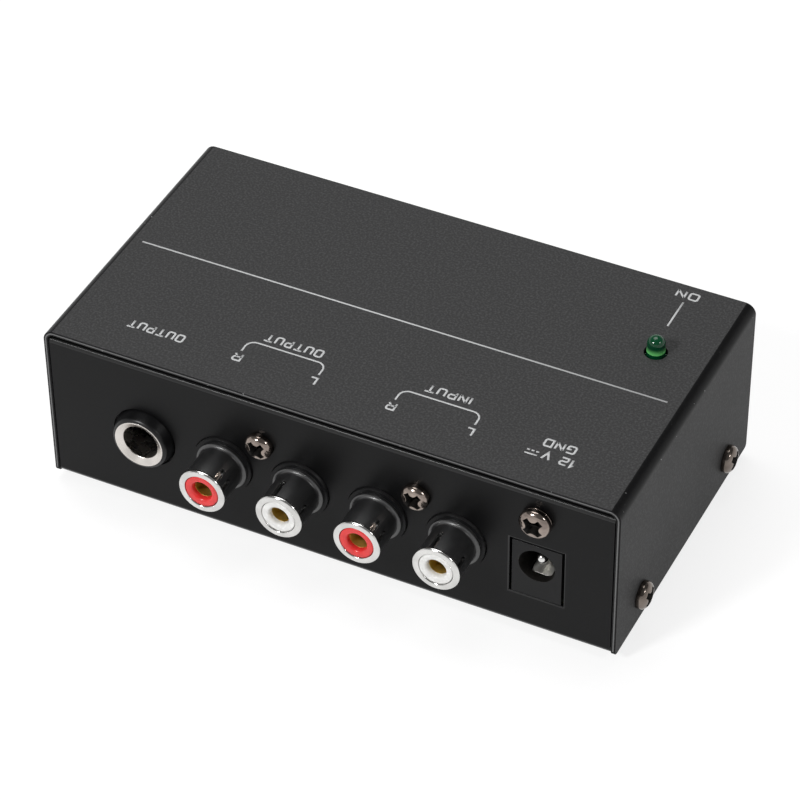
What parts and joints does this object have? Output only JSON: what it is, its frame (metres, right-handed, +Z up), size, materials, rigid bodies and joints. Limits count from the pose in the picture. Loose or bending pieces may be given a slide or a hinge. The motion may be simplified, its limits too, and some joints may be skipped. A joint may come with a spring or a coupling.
{
  "type": "phono preamp",
  "caption": "Compact turntable phono preamp: folded sheet-metal case with phono sockets, a 6.35 mm output jack, a DC power socket, a ground screw and a power lamp.",
  "frame": {"origin": "on the table under the feet, below the middle of the whole outline", "axes": "+X to the right of the connector panel as it is faced, -Y out of the connector panel, +Z up"},
  "size_m": [0.1072, 0.0642, 0.036],
  "materials": {
    "powder_coat": "fine speckled black powder coat",
    "panel_paint": "smooth satin black paint",
    "zinc_steel": "bright zinc plate",
    "nickel": "bright nickel plate",
    "tinned_steel": "tin plate",
    "brass": "plain, a little dull",
    "spring_bronze": "plain spring bronze",
    "rubber": "matte",
    "black_plastic": "glossy moulded black",
    "red_plastic": "glossy moulded red",
    "white_plastic": "glossy moulded white",
    "board_green": "green solder mask on glass fibre",
    "lamp_green": "clear tinted green",
    "wire_green": "soft sleeve",
    "chip_black": "matte moulded epoxy",
    "can_blue": "printed sleeve over an aluminium can",
    "film_ochre": "dipped resin box",
    "resistor_blue": "lacquered, colour-banded"
  },
  "bodies": {
    "case": {"top_cover": "powder_coat", "chassis": "panel_paint", "connector_panel": "panel_paint", "cover_screws": "zinc_steel", "rubber_feet": "rubber", "board_standoffs": "nickel", "board_screws": "zinc_steel", "circuit_board": "board_green", "output_rca_housing": "black_plastic", "input_rca_housing": "black_plastic", "output_rca_shells": "nickel", "input_rca_shells": "nickel", "red_rca_insulators": "red_plastic", "white_rca_insulators": "white_plastic", "rca_centre_contacts": "brass", "rca_screws": "nickel", "jack_housing": "black_plastic", "jack_ferrule": "nickel", "jack_lugs": "spring_bronze", "dc_housing": "black_plastic", "dc_centre_pin": "nickel", "dc_lugs": "tinned_steel", "ground_nut": "nickel", "ground_tag": "tinned_steel", "ground_wire": "wire_green", "lamp_lens": "lamp_green", "lamp_leads": "tinned_steel", "op_amps": "chip_black", "coupling_capacitors": "can_blue", "filter_capacitors": "can_blue", "film_capacitors": "film_ochre", "resistors": "resistor_blue", "voltage_regulator": "chip_black", "input_diode": "chip_black"},
    "tip_spring": {"jack_tip_spring": "spring_bronze"},
    "ring_spring": {"jack_ring_spring": "spring_bronze"},
    "dc_leaf": {"dc_leaf_spring": "nickel"},
    "ground_clamp": {"ground_washer": "nickel"},
    "ground_bolt": {"ground_screw": "nickel"}
  },
  "joints": [
    {"name": "jack_tip_flex", "type": "hinge", "parent": "case", "child": "tip_spring", "pos_m": [-0.029, -0.01015, 0.01585], "axis": [0, 0, -1], "range_deg": [0, 3], "stiffness_Nm_per_rad": 0.2},
    {"name": "jack_ring_flex", "type": "hinge", "parent": "case", "child": "ring_spring", "pos_m": [-0.0384, -0.01515, 0.01585], "axis": [0, 0, 1], "range_deg": [0, 3], "stiffness_Nm_per_rad": 0.2},
    {"name": "dc_leaf_flex", "type": "hinge", "parent": "case", "child": "dc_leaf", "pos_m": [0.03765, -0.0149, 0.01185], "axis": [1, 0, 0], "range_deg": [0, 8], "stiffness_Nm_per_rad": 0.03},
    {"name": "ground_lift", "type": "slide", "parent": "case", "child": "ground_clamp", "axis": [0, -1, 0], "range_m": [0, 0.002]},
    {"name": "ground_screw_turn", "type": "hinge", "parent": "ground_clamp", "child": "ground_bolt", "pos_m": [0.03765, -0.02415, 0.02575], "axis": [0, -1, 0], "range_deg": [0, 1440]}
  ],
  "couplings": [
    {"joint": "ground_screw_turn", "follows": "ground_lift", "rad_per_m": 12566}
  ]
}
